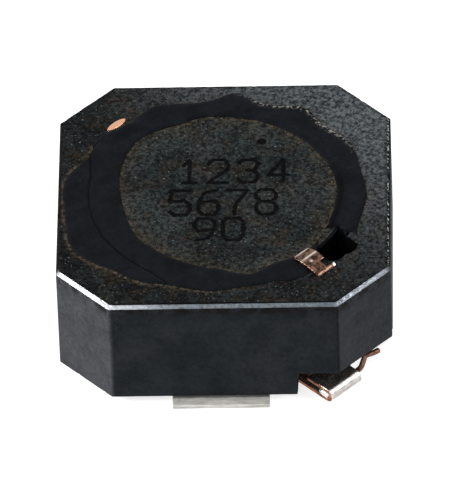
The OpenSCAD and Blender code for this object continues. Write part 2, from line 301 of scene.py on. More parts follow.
def ferriteMaterial(name, look):
    # fired ferrite: skin or "ground" faces; then grey bevels, worn and painted pale as a highlight where
    # they face the lamps, white bevels painted as a highlight, dark lines and painted shade on the other
    # bevels, rim specks painted as a glint, and engraved strokes, whose black also paints shade on the bore
    s = Shader(name)
    colour = s.mix(s.mark("ground"), sideColour(s, look), groundColour(s, look))
    # worn bevels, painted paler as a highlight on the front bevels that face the lamps
    wornAndHighlight = s.both(s.mark("wornAndHighlight"), s.window(s.noise(0.13, 3, 0.65), 0.28, 0.55, 0.45, 1))
    colour = s.mix(wornAndHighlight, colour, look["wornAndHighlight"])
    # painted highlight: a white line on the bevels that face the key lamp
    bright = s.both(s.mark("bright"), s.window(s.noise(0.16, 3, 0.6), 0.28, 0.52, 0.4, 1))
    colour = s.mix(bright, colour, look["bright"])
    # dark lines, and painted shade on the bevels that do not face the lamps
    darkLinesAndShade = s.both(s.mark("darkLinesAndShade"), s.window(s.noise(0.15, 4, 0.7), 0.3, 0.5, 0.5, 1))
    colour = s.mix(darkLinesAndShade, colour, look["darkLinesAndShade"])
    # pale specks along the top of the right-hand bevels, a painted glint
    specksAndGlint = s.both(s.mark("specksAndGlint"), s.window(s.noise(0.1, 3, 0.6), 0.5, 0.6))
    colour = s.mix(specksAndGlint, colour, look["glintSpeckle"])
    dots = s.window(s.noise(0.09, 3, 0.6), 0.3, 0.5, 0.75, 1)
    # engraved strokes; on the ring the same black is painted shade on the bore wall
    engraved = s.both(s.window(s.mark("engraved"), 0.12, 0.42), dots)
    colour = s.mix(engraved, colour, look["engraved"])
    rough = s.window(s.noise(0.25, 4), 0.3, 0.7, look["rough"] - 0.06, look["rough"] + 0.12)
    s.feed(s.math("MULTIPLY", wornAndHighlight, look["wornMetal"]), s.surface.inputs["Metallic"])
    grain = look["grain"]
    s.bump((s.noise(0.6, 4, 0.6), 0.02), (s.noise(0.13, 4, 0.7), grain), (s.cells(0.08), grain * 0.5))
    return s.finish(colour, s.blend(wornAndHighlight, rough, look["wornRough"]), Specular_IOR_Level=look["gloss"])


ringLook = {
    "dark": tint(15, 17, 18), "mid": tint(29, 32, 33), "stain": tint(33, 29, 23), "stainShare": 0.8,
    "pale": tint(72, 76, 78), "paleFrom": (0.5, 10.5), "halo": tint(66, 58, 48), "grainLevels": (0.25, 2.2),
    "pit": tint(9, 10, 10), "fleck": tint(128, 132, 130), "rust": tint(70, 45, 38),
    "sideDark": tint(30, 34, 38), "sideLight": tint(41, 45, 49), "sideRust": tint(66, 54, 50),
    "sideStain": tint(22, 18, 15), "sideFleck": tint(66, 71, 74), "sideLit": tint(72, 73, 76),
    "wornAndHighlight": tint(142, 150, 160), "bright": tint(208, 211, 217), "darkLinesAndShade": tint(4, 4, 5),
    "glintSpeckle": tint(190, 192, 190), "engraved": tint(3, 3, 4),
    "rough": 0.52, "wornRough": 0.26, "wornMetal": 0.5, "gloss": 0.03, "grain": 0.008,
}
drumLook = dict(
    ringLook, dark=tint(25, 29, 30), mid=tint(42, 46, 46), stain=tint(42, 37, 30), stainShare=0.6,
    pale=tint(48, 52, 52), paleFrom=(3.0, 12.0), halo=tint(62, 54, 42), grainLevels=(0.25, 2.1))


def adhesiveMaterial():
    # dark epoxy: even blue-black with a faint grain and trapped specks, pale grains where marked, the
    # ferrite's colour where "dusty", black along the groove's "line", and painted shade in the hollow, the
    # band and the crevice
    s = Shader("blackEpoxy")
    colour = s.mix(s.window(s.noise(0.7, 4, 0.6, warp=0.3), 0.3, 0.7), tint(12, 14, 17), tint(21, 24, 28))
    colour = s.mix(1.0, colour, s.window(s.noise(0.15, 4, 0.7), 0.3, 0.7, 0.75, 1.3), "MULTIPLY")
    colour = s.mix(s.window(s.noise(0.12, 3, 0.6), 0.69, 0.78, 0, 0.4), colour, tint(84, 88, 92))
    specksAndGlint = s.both(s.mark("specksAndGlint"), s.window(s.noise(0.11, 3, 0.6), 0.5, 0.58))
    colour = s.mix(specksAndGlint, colour, tint(150, 146, 140))
    colour = s.mix(s.mark("dusty"), colour, groundColour(s, ringLook))
    colour = s.mix(s.mark("line"), colour, tint(2, 2, 3))
    rough = s.window(s.noise(0.5, 3), 0.3, 0.7, 0.42, 0.6)
    s.bump((s.noise(0.8, 4, 0.55), 0.03), (s.noise(0.11, 4, 0.65), 0.006))
    return s.finish(colour, rough, Specular_IOR_Level=0.035)


def stripMaterial():
    # copper strip under tin: dull tin on the "pad", bright on the clamp, "raw" copper where cut, brown
    # where it was "hot", painted highlights at the "glint" places, painted shade in a dimple, and clean
    # copper on the back leg's "lens"
    s = Shader("tinnedStrip")
    pad = s.mark("pad")
    bright = s.mix(s.window(s.noise(0.35, 4, 0.6), 0.3, 0.7), tint(172, 166, 162), tint(222, 218, 214))
    streaks = s.window(s.noise(0.3, 5, 0.65, stretch=(0.35, 1, 1.6)), 0.35, 0.65)
    dull = s.mix(streaks, tint(180, 178, 170), tint(222, 220, 214))
    copper = s.mix(s.window(s.noise(0.2, 4, 0.6), 0.3, 0.7), tint(92, 50, 30), tint(178, 118, 88))
    brown = s.mix(s.window(s.noise(0.22, 4, 0.65), 0.38, 0.62), tint(52, 35, 27), tint(128, 98, 82))
    colour = s.mix(pad, bright, dull)
    colour = s.mix(s.mark("raw"), colour, copper)
    colour = s.mix(s.mark("hot"), colour, brown)
    burnt = s.both(s.mark("hot"), s.window(s.noise(0.28, 4, 0.7), 0.57, 0.66))
    # burnt spots, and painted shade in the dimple
    colour = s.mix(s.math("MAXIMUM", burnt, s.mark("shadedDimple")), colour, tint(24, 16, 12))
    glint = s.both(s.mark("glint"), s.window(s.noise(0.12, 3, 0.6), 0.3, 0.5, 0.6, 1))
    colour = s.mix(glint, colour, tint(226, 214, 204))
    colour = s.mix(s.mark("lens"), colour, tint(226, 170, 136))
    rough = s.blend(pad, s.window(s.noise(0.15, 4), 0.3, 0.7, 0.14, 0.3), 0.5)
    s.feed(s.blend(pad, 0.95, 0.25), s.surface.inputs["Metallic"])
    s.bump((s.noise(0.3, 3), 0.012), (s.noise(0.06, 4, 0.6, stretch=(1, 1, 0.4)), 0.004))
    return s.finish(colour, rough)


def wireMaterial():
    # copper wire under amber enamel
    s = Shader("enamelledWire")
    colour = s.mix(s.window(s.noise(0.2, 4), 0.3, 0.7), tint(48, 28, 18), tint(120, 78, 54))
    s.bump((s.noise(0.08, 3), 0.004))
    return s.finish(colour, s.window(s.noise(0.1, 3), 0.3, 0.7, 0.25, 0.4), Metallic=0.75, Coat_Weight=0.4,
                    Coat_Roughness=0.15)


def solderMaterial():
    # bright frozen solder
    s = Shader("solderMetal")
    colour = s.mix(s.window(s.noise(0.15, 4), 0.3, 0.7), tint(196, 197, 196), tint(240, 241, 240))
    s.bump((s.noise(0.1, 3), 0.01))
    return s.finish(colour, s.window(s.noise(0.08, 3), 0.3, 0.7, 0.16, 0.34), Metallic=1.0)


def glueMaterial():
    # dark glue under the pads
    s = Shader("padGlue")
    colour = s.mix(s.window(s.noise(0.3, 4), 0.3, 0.7), tint(14, 14, 13), tint(32, 31, 29))
    s.bump((s.noise(0.2, 4), 0.02))
    return s.finish(colour, s.window(s.noise(0.2, 3), 0.3, 0.7, 0.45, 0.65), Specular_IOR_Level=0.15)


def nodePoints(node):
    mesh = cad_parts[node].data
    co = np.zeros(len(mesh.vertices) * 3)
    mesh.vertices.foreach_get("co", co)
    return co.reshape(-1, 3) / mm


ringPoints = nodePoints("ring_core")
drumPoints = nodePoints("drum_core")
halfWidth = ringPoints[:, 0].max()
baseZ = ringPoints[:, 2].min()
topZ = ringPoints[:, 2].max()
cornerR = ((ringPoints[:, 0] - ringPoints[:, 1]) / np.sqrt(2)).max()
boreR = np.hypot(ringPoints[:, 0], ringPoints[:, 1]).min()
flangeR = np.hypot(drumPoints[:, 0], drumPoints[:, 1]).max()
gapR = (boreR + flangeR) / 2
print("ring", halfWidth, baseZ, topZ, cornerR, boreR, flangeR)


adhesive = {
    "columns": 800, "topRows": 60,
    # the film: its height, the width of its rounded shoulders, the share of the height at its very edge and
    # on top, and the depth and size of its slow waves
    "height": 0.06, "shoulder": 0.16, "edgeShare": 0.18, "topShare": 0.72, "wave": 0.01, "waveSize": 0.9,
    # outer edge: radius of the even part, then (direction, extra reach, half width in degrees) of swellings
    "outer": 4.34,
    "outerSwellings": [(31, 0.2, 9), (58, 0.32, 8.5), (86, 0.41, 7), (119, 0.35, 11), (145, 0.42, 10),
                       (171, 0.55, 13), (190, 0.45, 15), (211, 0.82, 16), (236, 0.33, 11), (262, 0.15, 12),
                       (283, -0.16, 7), (301, 0.26, 8), (329, 0.33, 9), (317, -0.08, 4), (358, 0.08, 9)],
    # inner edge, the same way; it is cut off at the rim of the drum
    "inner": 3.45,
    "innerSwellings": [(99, 0.2, 12), (134, 0.27, 18), (190, -0.29, 24), (235, -0.14, 22), (282, 0.34, 9),
                       (313, 0.25, 20), (10, 0.05, 14), (75, 0.09, 18)],
    # ripple of both edges; least lap over the ring; least distance from the ring's bevel
    "ripple": 0.022, "rippleSize": 0.3, "lap": 0.045, "bevelGap": 0.015,
    # the thin dark groove where the first layer ends under the second one, and where it fades out
    "line": 4.2, "lineSwellings": [(150, 0.44, 12), (256, 0.5, 11)], "lineFrom": 148, "lineTo": 254,
    "lineFade": 3, "lineWidth": 0.03, "lineDepth": 0.03,
    # the hollow beside the front leg: (direction, distance out from the gap's middle, radius) of scoops,
    # the width of its wall, its depth in the gap, the skin under it, and how far it dips the film as well
    "pitSpots": [(-35, 0.02, 0.48), (-33, 0.25, 0.5), (-39, 0.2, 0.44), (-30, 0.34, 0.36),
                 (-30, -0.15, 0.4)],
    "pitWall": 0.07, "pitDepth": 1.6, "pitFloor": 0.02, "pitDip": 0.04,
    # the band beside the drum's right edge, dipped and painted black as a shadow: distance out from the
    # film's inner edge, half width, depth, and the directions between which it comes and goes
    "bandOut": 0.13, "bandWidth": 0.15, "bandDepth": 0.03, "bandFrom": (-46, -34), "bandTo": (2, 26),
    # pale grains along the outer edge: distance in from it, half width, and where they come and go
    "speckIn": 0.05, "speckWidth": 0.1, "speckFrom": (20, 40), "speckTo": (70, 90),
    # the low mound over the back leg: place and half size along and across the diagonal
    "moundAt": (-4.42, -0.14), "moundHeight": 0.075, "moundSize": (0.34, 0.6),
    # the fill of the ring's pockets, and a crevice in the front one painted black as shade: (along, across,
    # half sizes)
    "pocketStep": 0.02, "pocketRise": 0.003, "creviceShade": (4.66, -0.82, 0.06, 0.14),
}


def swollen(theta, even, swellings):
    # an even radius with soft swellings: each adds reach * exp(-(angle / half width)^2)
    radius = np.full(theta.shape, even)
    for direction, reach, halfAngle in swellings:
        away = (np.degrees(theta) - direction + 180) % 360 - 180
        radius = radius + reach * np.exp(-(away / halfAngle) ** 2)
    return radius


def rippled(theta, radius, share, seed):
    # the radius plus noise read along a circle of 4.5 mm, in two sizes, the smaller one a third as large
    rim = 4.5 * np.stack([np.cos(theta), np.sin(theta), 0 * theta], axis=-1)
    size = adhesive["rippleSize"]
    return radius + share * adhesive["ripple"] * (cloud(rim, size, seed) + 0.5 * cloud(rim, size / 3, seed))


def outerEdge(theta):
    # the spilled adhesive's edge: it laps over the bore's rim and stops short of the ring's bevel
    a = adhesive
    radius = rippled(theta, swollen(theta, a["outer"], a["outerSwellings"]), 1.0, 21)
    limit = (halfWidth - ring["bevel"] - a["bevelGap"]) / np.maximum(np.abs(np.cos(theta)), 0.5)
    return np.clip(radius, boreR + a["lap"], limit)


def innerEdge(theta):
    # the edge that lies on the drum
    radius = rippled(theta, swollen(theta, adhesive["inner"], adhesive["innerSwellings"]), 0.8, 22)
    return np.minimum(radius, flangeR - 0.02)


ring = {
    "cornerRound": 0.06, "bevel": 0.1, "bevelPower": 1.35, "boreRound": 0.035, "footBevel": 0.04,
    "pocketWidth": 2.5, "pocketEnd": 4.92, "pocketRound": 0.3,
    "notchWidth": 4.1, "notchHeight": 0.88, "notchRound": 0.03, "notchBevel": 0.03,
    "cornerSpan": 2.6, "step": 0.05,
    "chips": 170, "chipSizes": (0.03, 0.08), "bigChips": 16, "bigChipSizes": (0.08, 0.15), "seed": 11,
    "wobble": 0.008, "wobbleSize": 0.14,
    # each table below: (direction from the middle in degrees anticlockwise from +X, share) of the grey
    # bevel, worn and painted pale as a highlight where it faces the lamps, the dark line inside it, the
    # pale specks along it painted as a glint, its white painted highlight, and the painted light on the
    # sides that face the key lamp
    "wearAndHighlight": [(-147, 0), (-144.5, 1), (-125, 1), (-123, 0.8), (-57, 0.7), (-54.5, 0.85), (-36, 0.85),
             (-33, 0)],
    "innerLine": [(-147, 0.2), (-125, 0.3), (-122, 1), (-57, 1), (-54, 0.6), (-33, 0.4), (180, 0.2)],
    "specks": [(-35, 0), (-33, 1), (33, 1), (60, 0.2), (90, 0)],
    "bright": [(-147, 0), (-144.5, 1), (-124, 1), (-121, 0.85), (-108, 0.1), (-104, 0), (-56, 0),
               (-54, 0.3), (-38, 0.45), (-33, 0)],
    "litSide": [(-152, 0), (-147.5, 1), (-124, 1), (-123.6, 0), (-56.4, 0), (-56, 0.4), (-33, 0.3),
                 (-30, 0)],
    # direction of the dark upright edge
    "darkArris": -55.7,
}


def share(table, angle):
    # reads a (direction, share) table at these directions
    directions, values = zip(*sorted(table))
    return np.interp(angle, directions, values, period=360)


def octagonCorners(inset):
    # the eight corners of the ring's outline, moved in by inset: corner k is where sides k and k + 1 meet
    angle = np.arange(9) * np.pi / 4
    normal = np.stack([np.cos(angle), np.sin(angle)], axis=-1)
    reach = np.where(np.arange(9) % 2 == 0, cornerR, halfWidth) - inset
    c = np.cos(np.pi / 4)
    a, b = reach[:-1, None], reach[1:, None]
    return (a * (normal[:-1] - c * normal[1:]) + b * (normal[1:] - c * normal[:-1])) / (1 - c * c)


def ringColumns():
    # half of the ring, from just before the front right corner to the same place at the back left one;
    # each column has its side, its share along that side, its outward angle and its point on the bore
    half = np.sqrt(2) * halfWidth
    rounding = ring["cornerRound"]
    corners = octagonCorners(rounding)
    step = ring["step"]

    def sideStart(side):
        return corners[(side - 1) % 8]

    def sideEnd(side):
        return corners[side % 8]

    def shareAt(side, across):
        # share along a side at which the outline lies this far across the diagonal
        normal = side * np.pi / 4
        a = sideStart(side)[1] + rounding * np.sin(normal)
        b = sideEnd(side)[1] + rounding * np.sin(normal)
        return (across - a) / (b - a)

    notch = ring["notchWidth"] / 2
    pocket = ring["pocketWidth"] / 2
    draft = ring["notchRound"] / 2
    span = ring["cornerSpan"]
    special = np.concatenate([notch + draft * np.arange(-2, 3), [pocket - 0.015, pocket + 0.015]])
    cornerS = sideEnd(0)[1]
    even = np.arange(0, span + step / 2, step)
    even = even[np.abs(even[:, None] - special).min(axis=1) > 0.4 * step]
    across = np.sort(np.concatenate([even, special]))
    inner = across[across < cornerS - 0.02]
    outer = across[across > cornerS + 0.04]
    sides, shares, angles = [], [], []

    def add(side, share, angle):
        share = np.atleast_1d(share)
        sides.append(np.full(len(share), side))
        shares.append(share)
        angles.append(np.broadcast_to(np.atleast_1d(angle), share.shape))

    def addCorner(side):
        # the rounded corner between this side and the next, its two ends included
        turnAngles = (side + np.linspace(0, 1, 6)) * np.pi / 4
        add(side, np.ones(6), turnAngles)

    add(-1, shareAt(-1, -outer[::-1][:-1]), -np.pi / 4)
    addCorner(-1)
    add(0, shareAt(0, np.concatenate([-inner[:0:-1], inner])), 0.0)
    addCorner(0)
    add(1, shareAt(1, outer), np.pi / 4)
    length = np.linalg.norm(sideEnd(1) - sideStart(1))
    last = shareAt(1, outer[-1])
    more = np.linspace(last, 1, int((1 - last) * length / step) + 1)[1:-1]
    add(1, more, np.pi / 4)
    addCorner(1)
    length = np.linalg.norm(sideEnd(2) - sideStart(2))
    add(2, np.linspace(0, 1, int(length / step))[1:-1], np.pi / 2)
    addCorner(2)
    add(3, 1 - more[::-1], 3 * np.pi / 4)
    sides, shares, angles = map(np.concatenate, (sides, shares, angles))
    outline = columnOutline(sides, shares, angles, 0.0)
    # the bore: straight across near the corners, radial elsewhere, eased between
    r, s = outline[:, 0], outline[:, 1]
    polar = np.arctan2(s, r)
    edge = np.arctan2(span, half - span)
    extra = np.arcsin(span / boreR) - edge
    fromStart = smooth(0, np.radians(30), polar - edge)
    fromEnd = smooth(0, np.radians(30), np.pi - edge - polar)
    bend = extra * ((1 - fromStart) - (1 - fromEnd))
    radial = np.stack([boreR * np.cos(polar + bend), boreR * np.sin(polar + bend)], axis=-1)
    near = (np.abs(s) <= span + 1e-6) & (r > 0)
    sIn = np.clip(np.abs(s), 0, span)
    rounding = ring["pocketRound"]
    straight = np.sqrt(boreR ** 2 - sIn ** 2)
    past = np.maximum(sIn - pocket + rounding, 0)
    curve = ring["pocketEnd"] - rounding + np.sqrt(np.maximum(rounding ** 2 - past ** 2, 0))
    rIn = np.where(sIn < pocket, curve, straight)
    bore = np.where(near[:, None], np.stack([rIn, s], axis=-1), radial)
    return sides, shares, angles, bore


def columnOutline(sides, shares, angles, inset):
    # the outline moved in by inset: a share along a smaller octagon's side, then out by the corner radius
    rounding = ring["cornerRound"]
    corners = octagonCorners(inset + rounding)
    a = corners[(sides - 1) % 8]
    b = corners[sides % 8]
    return a + (b - a) * shares[:, None] + rounding * np.stack([np.cos(angles), np.sin(angles)], axis=-1)


def ringSurface():
    # a closed section (bore, top, bevel, outer wall, lower bevel, underside) carried round the octagon;
    # each bevel is a quarter of the curve x^p + y^p = 1, with p the bevel power
    sides, shares, angles, bore = ringColumns()
    bevel = ring["bevel"]
    full = columnOutline(sides, shares, angles, 0.0)
    inset = columnOutline(sides, shares, angles, bevel)
    across = np.abs(full[:, 1]) + np.where(full[:, 0] > 0, 0, 99)
    notch = ring["notchWidth"] / 2
    raised = 1 - smooth(notch - ring["notchRound"], notch + ring["notchRound"], across)
    low = baseZ + ring["notchHeight"] * raised
    lowBevel = np.where(raised > 0.01, ring["notchBevel"], ring["footBevel"])
    rim = ring["boreRound"]
    zero = np.zeros(len(sides))
    width = np.linalg.norm(inset - bore, axis=-1)
    rows, marks = [], []

    def addRow(reach, moved, z, **kinds):
        # reach goes from the bore (0) to the outline (1), which is moved in by this much
        edge = full + (inset - full) * (np.broadcast_to(moved, zero.shape) / bevel)[:, None]
        xy = bore + (edge - bore) * np.broadcast_to(reach, zero.shape)[:, None]
        rows.append(np.column_stack([xy, np.broadcast_to(z, zero.shape)]))
        marks.append(kinds)

    for t in np.linspace(0, 1, 12):
        addRow(0, bevel, low + 0.02 + (topZ - rim - low - 0.02) * t, bore=1)
    for t in np.radians([30, 60]):
        addRow(rim * (1 - np.cos(t)) / width, bevel, topZ - rim + rim * np.sin(t), ground=0.5, bore=0.5)
    for t in 1 - (1 - np.linspace(0, 1, 32)) ** 1.4:
        reach = rim / width + (1 - rim / width) * t
        addRow(reach, bevel, topZ, ground=1, inside=(1 - reach) * width)
    power = 2 / ring["bevelPower"]
    for t in np.radians(np.linspace(90, 0, 11))[1:-1]:
        sunk = 1 - np.sin(t) ** power
        onTop = float(sunk < 0.35)
        addRow(1, bevel - bevel * np.cos(t) ** power, topZ - bevel * sunk, bevel=1, first=onTop)
    for t in np.linspace(0, 1, 34) ** 1.15:
        addRow(1, 0, topZ - bevel + (low + lowBevel - topZ + bevel) * t, wall=1)
    for t in np.radians(np.linspace(0, 90, 6))[1:]:
        addRow(1, lowBevel * (1 - np.cos(t) ** power), low + lowBevel * (1 - np.sin(t) ** power), foot=1)
    for t in np.linspace(1, 0, 10)[1:]:
        addRow(t, lowBevel, low, ground=1)
    half = np.stack(rows)
    points = np.concatenate([half, halfTurn(half)], axis=1)
    return fromCorner(points[..., 0], points[..., 1], points[..., 2]), fromCorner(*full.T, 0.0), marks


def ringMarks(points, outline, marks):
    # turns the kinds of the rows and the directions of the columns into the marks that the material reads
    outline = np.concatenate([outline, halfTurn(outline)])
    facing = np.degrees(np.arctan2(outline[:, 1], outline[:, 0]))
    wearAndHighlight = share(ring["wearAndHighlight"], facing)

    def rowsOf(kind, other=0.0):
        return np.stack([np.tile(np.broadcast_to(m.get(kind, other), len(facing) // 2), 2) for m in marks])

    inside = rowsOf("inside", 9.0)
    line = (1 - smooth(0.03, 0.15, inside)) * share(ring["innerLine"], facing)
    arris = np.exp(-((facing - ring["darkArris"]) / 0.5) ** 2)
    theta = np.arctan2(points[..., 1], points[..., 0])
    beyond = np.hypot(points[..., 0], points[..., 1]) - outerEdge(theta)
    leftward = 0.25 + 0.75 * smooth(0, 0.8, -np.cos(theta - 0.3))
    # painted shade: bevels that are not worn, away from the lamps, are painted dark
    bevelShade = rowsOf("bevel") * (1 - wearAndHighlight) * 0.9
    return {
        "ground": rowsOf("ground"),
        # worn bevels, painted paler as a highlight where they face the lamps; the foot's wear is real
        "wornAndHighlight": rowsOf("bevel") * wearAndHighlight + rowsOf("foot") * 0.25,
        # painted highlight: a white line on the bevels that face the key lamp
        "bright": rowsOf("bevel") * share(ring["bright"], facing),
        # painted light: the sides that face the key lamp are painted paler
        "litSide": rowsOf("wall") * share(ring["litSide"], facing),
        "darkLinesAndShade": np.maximum(bevelShade, np.maximum(line, rowsOf("wall") * arris * 0.8)),
        # painted glint: pale specks along the top of the bevels on the right
        "specksAndGlint": rowsOf("first") * share(ring["specks"], facing),
        "halo": rowsOf("ground") * np.exp(-((beyond - 0.05) / 0.07) ** 2) * leftward,
        # painted shade: the whole bore wall deep in the gap is painted black
        "engraved": rowsOf("bore"),
    }


def wearEdges(points, wornAndHighlight):
    # the bevel wanders a little by noise, and spheres bite chips out along the top and bottom edges,
    # placed at random on the octagon's sides, three in four of them on top
    rng = np.random.default_rng(ring["seed"])
    outward = (points - [0, 0, (baseZ + topZ) / 2]) * np.array([1, 1, 2.4])
    outward /= np.linalg.norm(outward, axis=-1, keepdims=True)
    sway = ring["wobble"] * (cloud(points, ring["wobbleSize"], 3) - 1)
    points = points + outward * (wornAndHighlight * sway)[..., None]
    rim = octagonCorners(0.0)
    rim = fromCorner(rim[:, 0], rim[:, 1], 0.0)[:, :2]
    nextRim = np.roll(rim, -1, axis=0)
    fine = (ring["chips"], *ring["chipSizes"])
    coarse = (ring["bigChips"], *ring["bigChipSizes"])
    for count, small, large in (fine, coarse):
        side = rng.integers(0, 8, count)
        place = rim[side] + (nextRim[side] - rim[side]) * rng.random((count, 1))
        radius = small + (large - small) * rng.random(count) ** 2
        upper = rng.random(count) < 0.75
        level = np.where(upper, topZ, baseZ)
        width = np.where(upper, ring["bevel"], ring["footBevel"])
        outwards = place / np.linalg.norm(place, axis=-1, keepdims=True)
        down = rng.random(count)
        place = place + outwards * (radius * 0.4 - width * (1 - down))[:, None]
        height = level + np.where(upper, 1, -1) * (radius * 0.4 - width * down)
        points = carve(points, np.column_stack([place, height]), radius)
    return points


def makeRing():
    points, outline, kinds = ringSurface()
    marks = ringMarks(points, outline, kinds)
    bevelled = np.stack([np.broadcast_to(kind.get("bevel", 0), points.shape[1]) for kind in kinds])
    points = wearEdges(points, np.maximum(bevelled, marks["wornAndHighlight"]))
    sheet = gridSheet(points, True, True, **marks)
    return makePiece("ringCore", [sheet], ferriteMaterial("ringFerrite", ringLook))


drum = {
    "rimBevel": 0.06, "flangeThickness": 0.75, "postRadius": 2.2,
    "columns": 520, "topRows": 122, "markDepth": 0.018, "stroke": 0.08,
    # plain numbers: (digits, left end, foot, height, pitch) of each row, and a dot: (x, y, radius)
    "rows": [("1234", -1.43, 0.54, 1.05, 0.93), ("5678", -1.68, -0.95, 1.13, 0.89),
             ("90", -0.9, -2.12, 1.0, 0.88)],
    "digitWidth": 0.62, "dot": (1.15, 2.44, 0.16),
    "chips": 30, "chipSizes": (0.03, 0.09), "seed": 5,
}

# plain digits as strokes in a box 1 wide and 1 high; runs of points joined by straight lines
digitStrokes = {
    "0": [[(0.2, 0), (0.8, 0), (1, 0.2), (1, 0.8), (0.8, 1), (0.2, 1), (0, 0.8), (0, 0.2), (0.2, 0)]],
    "1": [[(0.25, 0.78), (0.55, 1), (0.55, 0)], [(0.25, 0), (0.85, 0)]],
    "2": [[(0, 0.8), (0.2, 1), (0.8, 1), (1, 0.8), (1, 0.6), (0, 0), (1, 0)]],
    "3": [[(0, 0.85), (0.2, 1), (0.8, 1), (1, 0.8), (0.8, 0.53), (0.4, 0.53)],
          [(0.8, 0.53), (1, 0.3), (1, 0.2), (0.8, 0), (0.2, 0), (0, 0.15)]],
    "4": [[(0.75, 0), (0.75, 1), (0, 0.3), (1, 0.3)]],
    "5": [[(1, 1), (0.08, 1), (0, 0.55), (0.75, 0.6), (1, 0.4), (1, 0.2), (0.8, 0), (0.2, 0), (0, 0.15)]],
    "6": [[(0.9, 1), (0.3, 0.9), (0, 0.5), (0, 0.2), (0.2, 0), (0.8, 0), (1, 0.2), (1, 0.4), (0.8, 0.58),
           (0.05, 0.5)]],
    "7": [[(0, 1), (1, 1), (0.4, 0.4), (0.35, 0)]],
    "8": [[(0.2, 0.53), (0, 0.7), (0, 0.85), (0.2, 1), (0.8, 1), (1, 0.85), (1, 0.7), (0.8, 0.53),
           (0.2, 0.53), (0, 0.35), (0, 0.15), (0.2, 0), (0.8, 0), (1, 0.15), (1, 0.35), (0.8, 0.53)]],
    "9": [[(0.1, 0), (0.7, 0.1), (1, 0.5), (1, 0.8), (0.8, 1), (0.2, 1), (0, 0.8), (0, 0.6), (0.2, 0.42),
           (0.95, 0.5)]],
}


def strokeDistance(xy, a, b):
    # distance from each point to the straight line from a to b
    along = np.clip(((xy - a) @ (b - a)) / ((b - a) @ (b - a)), 0, 1)
    return np.linalg.norm(xy - a - along[..., None] * (b - a), axis=-1)


def engraving(xy):
    # 1 on the middle of a stroke, 0 beyond its edge: three rows of plain digits and a dot
    distance = np.full(xy.shape[:-1], 9.0)
    for text, left, foot, height, pitch in drum["rows"]:
        for place, letter in enumerate(text):
            origin = np.array([left + place * pitch, foot])
            size = np.array([drum["digitWidth"], height])
            for run in digitStrokes[letter]:
                spots = [origin + size * spot for spot in run]
                for a, b in zip(spots, spots[1:]):
                    distance = np.minimum(distance, strokeDistance(xy, a, b))
    wander = 0.02 * cloud(np.stack([xy[..., 0], xy[..., 1], 0 * xy[..., 0]], axis=-1), 0.09, 14)
    mark = 1 - smooth(drum["stroke"] * 0.5, drum["stroke"] * 1.1, distance + wander)
    x, y, radius = drum["dot"]
    spot = np.hypot(xy[..., 0] - x, xy[..., 1] - y)
    return np.maximum(mark, (1 - smooth(radius * 0.8, radius, spot)) * smooth(0, radius * 0.5, spot + 0.03))


def drumSurface():
    # the drum's section turned round its axis, from the middle of the top to the middle of the underside
    b = drum["rimBevel"]
    thick = drum["flangeThickness"]
    post = drum["postRadius"]
    arc = np.radians(np.linspace(90, 0, 6))
    radii = [np.linspace(0, flangeR - b, drum["topRows"])]
    heights = [np.full(drum["topRows"], topZ)]
    ground = [np.ones(drum["topRows"])]

    def add(r, z, g):
        r, z = np.broadcast_arrays(np.atleast_1d(r), np.atleast_1d(z))
        radii.append(r)
        heights.append(z)
        ground.append(np.full(len(r), g))

    add(flangeR - b + b * np.cos(arc[1:]), topZ - b + b * np.sin(arc[1:]), 0.0)
    add(flangeR, topZ - b - (thick - 2 * b) * np.linspace(0, 1, 7)[1:], 0.0)
    add(flangeR - b + b * np.cos(arc[::-1][1:]), topZ - thick + b - b * np.sin(arc[::-1][1:]), 0.0)
    add(np.linspace(flangeR - b, post, 8)[1:], topZ - thick, 0.0)
    add(post, np.linspace(topZ - thick, baseZ + thick, 6)[1:], 0.0)
    add(np.linspace(post, flangeR - b, 8)[1:], baseZ + thick, 0.0)
    add(flangeR - b + b * np.cos(arc[1:]), baseZ + thick - b + b * np.sin(arc[1:]), 0.0)
    add(flangeR, baseZ + thick - b - (thick - 2 * b) * np.linspace(0, 1, 7)[1:], 0.0)
    add(flangeR - b + b * np.cos(arc[::-1][1:]), baseZ + b - b * np.sin(arc[::-1][1:]), 0.0)
    add(np.linspace(flangeR - b, 0, 16)[1:], baseZ, 1.0)
    r, z, g = map(np.concatenate, (radii, heights, ground))
    theta = np.linspace(0, turn, drum["columns"], endpoint=False)
    r, z = r[:, None], z[:, None]
    points = np.stack([r * np.cos(theta), r * np.sin(theta), z + 0 * theta], axis=-1)
    return points, g[:, None]


def makeDrum():
    points, ground = drumSurface()
    rng = np.random.default_rng(drum["seed"])
    top = points[..., 2] > topZ - 1e-6
    dots = 0.75 + 0.25 * cloud(points, 0.08, 8)
    mark = np.where(top, engraving(points[..., :2]) * dots, 0)
    sunk = points.copy()
    sunk[..., 2] -= mark * drum["markDepth"]
    angle = rng.random(drum["chips"]) * turn
    radius = rng.uniform(*drum["chipSizes"], drum["chips"])
    reach = flangeR + 0.5 * radius
    centres = np.column_stack([reach * np.cos(angle), reach * np.sin(angle), topZ + 0.4 * radius])
    sunk = carve(sunk, centres, radius)
    x, y = points[..., 0], points[..., 1]
    within = innerEdge(np.arctan2(y, x)) - np.hypot(x, y)
    halo = top * (0.95 * np.exp(-((within - 0.02) / 0.04) ** 2) + 0.45 * np.exp(-(within / 0.32) ** 2))
    sheet = gridSheet(sunk, False, True, ground=ground, engraved=mark, halo=np.minimum(halo, 1))
    return makePiece("drumCore", [sheet], ferriteMaterial("drumFerrite", drumLook))


def pitAt(x, y):
    # 1 inside the hollow beside the front leg, 0 outside, with a steep wall
    inside = np.zeros(np.broadcast(x, y).shape)
    for direction, out, radius in adhesive["pitSpots"]:
        spot = np.radians(direction)
        away = np.hypot(x - (gapR + out) * np.cos(spot), y - (gapR + out) * np.sin(spot))
        wall = adhesive["pitWall"]
        inside = np.maximum(inside, 1 - smooth(radius - wall, radius + wall * 0.3, away))
    return inside


